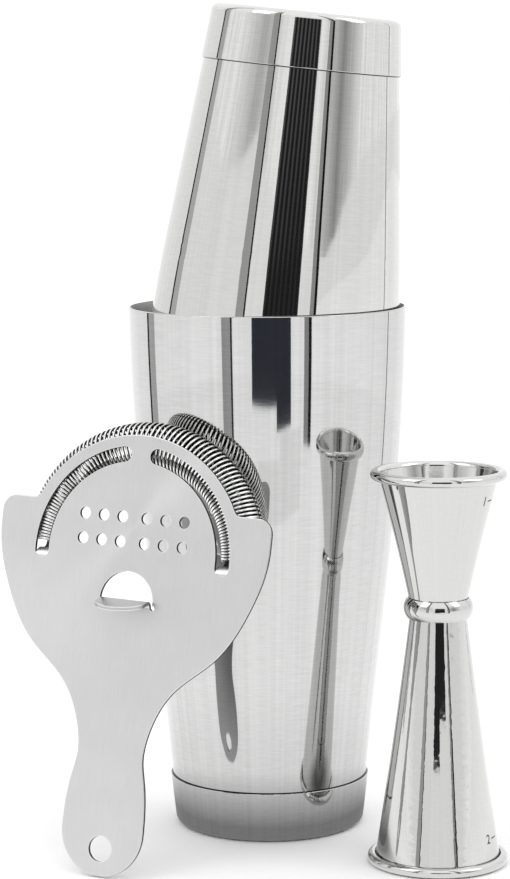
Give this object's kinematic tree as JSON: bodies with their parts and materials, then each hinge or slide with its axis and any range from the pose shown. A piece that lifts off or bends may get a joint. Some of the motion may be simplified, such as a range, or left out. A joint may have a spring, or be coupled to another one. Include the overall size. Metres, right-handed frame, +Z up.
{
  "type": "cocktail shaker set",
  "caption": "Steel cocktail set: weighted large tin with the small tin seated upside down in it, a leaning spring strainer and a double-ended jigger.",
  "frame": {"origin": "centre of the large tin's base, on the surface the set stands on", "axes": "+Z up along the large tin's axis; -Y towards the strainer and jigger, which stand in front; +X towards the jigger's side"},
  "size_m": [0.1622, 0.1213, 0.2732],
  "materials": {
    "tin_satin": "brushed satin stainless steel",
    "ballast_steel": "plain mild steel",
    "strainer_satin": "fine satin stainless steel",
    "spring_wire": "bright drawn stainless wire",
    "jigger_mirror": "mirror-polished stainless steel"
  },
  "bodies": {
    "large_tin": {"large_tin_cup": "tin_satin", "large_tin_base_cap": "tin_satin", "large_tin_ballast_disc": "ballast_steel"},
    "small_tin": {"small_tin_cup": "tin_satin", "small_tin_base_cap": "tin_satin", "small_tin_ballast_disc": "ballast_steel"},
    "strainer": {"strainer_plate": "strainer_satin"},
    "spring": {"strainer_spring": "spring_wire"},
    "jigger": {"jigger_small_cup": "jigger_mirror", "jigger_large_cup": "jigger_mirror", "jigger_waist_ring": "jigger_mirror"}
  },
  "joints": [
    {"name": "small_tin_lift", "type": "slide", "parent": "large_tin", "child": "small_tin", "axis": [0, 0, 1], "range_m": [0, 0.1]},
    {"name": "strainer_pull", "type": "slide", "parent": "large_tin", "child": "strainer", "axis": [-0.4211, -0.8867, 0.1908], "range_m": [0, 0.12]},
    {"name": "spring_press", "type": "slide", "parent": "strainer", "child": "spring", "axis": [-0.1086, -0.1596, -0.9812], "range_m": [0, 0.006], "stiffness_N_per_m": 800, "deforming": ["strainer_spring"]},
    {"name": "jigger_lift", "type": "slide", "parent": "large_tin", "child": "jigger", "axis": [0, 0, 1], "range_m": [0, 0.15]}
  ]
}
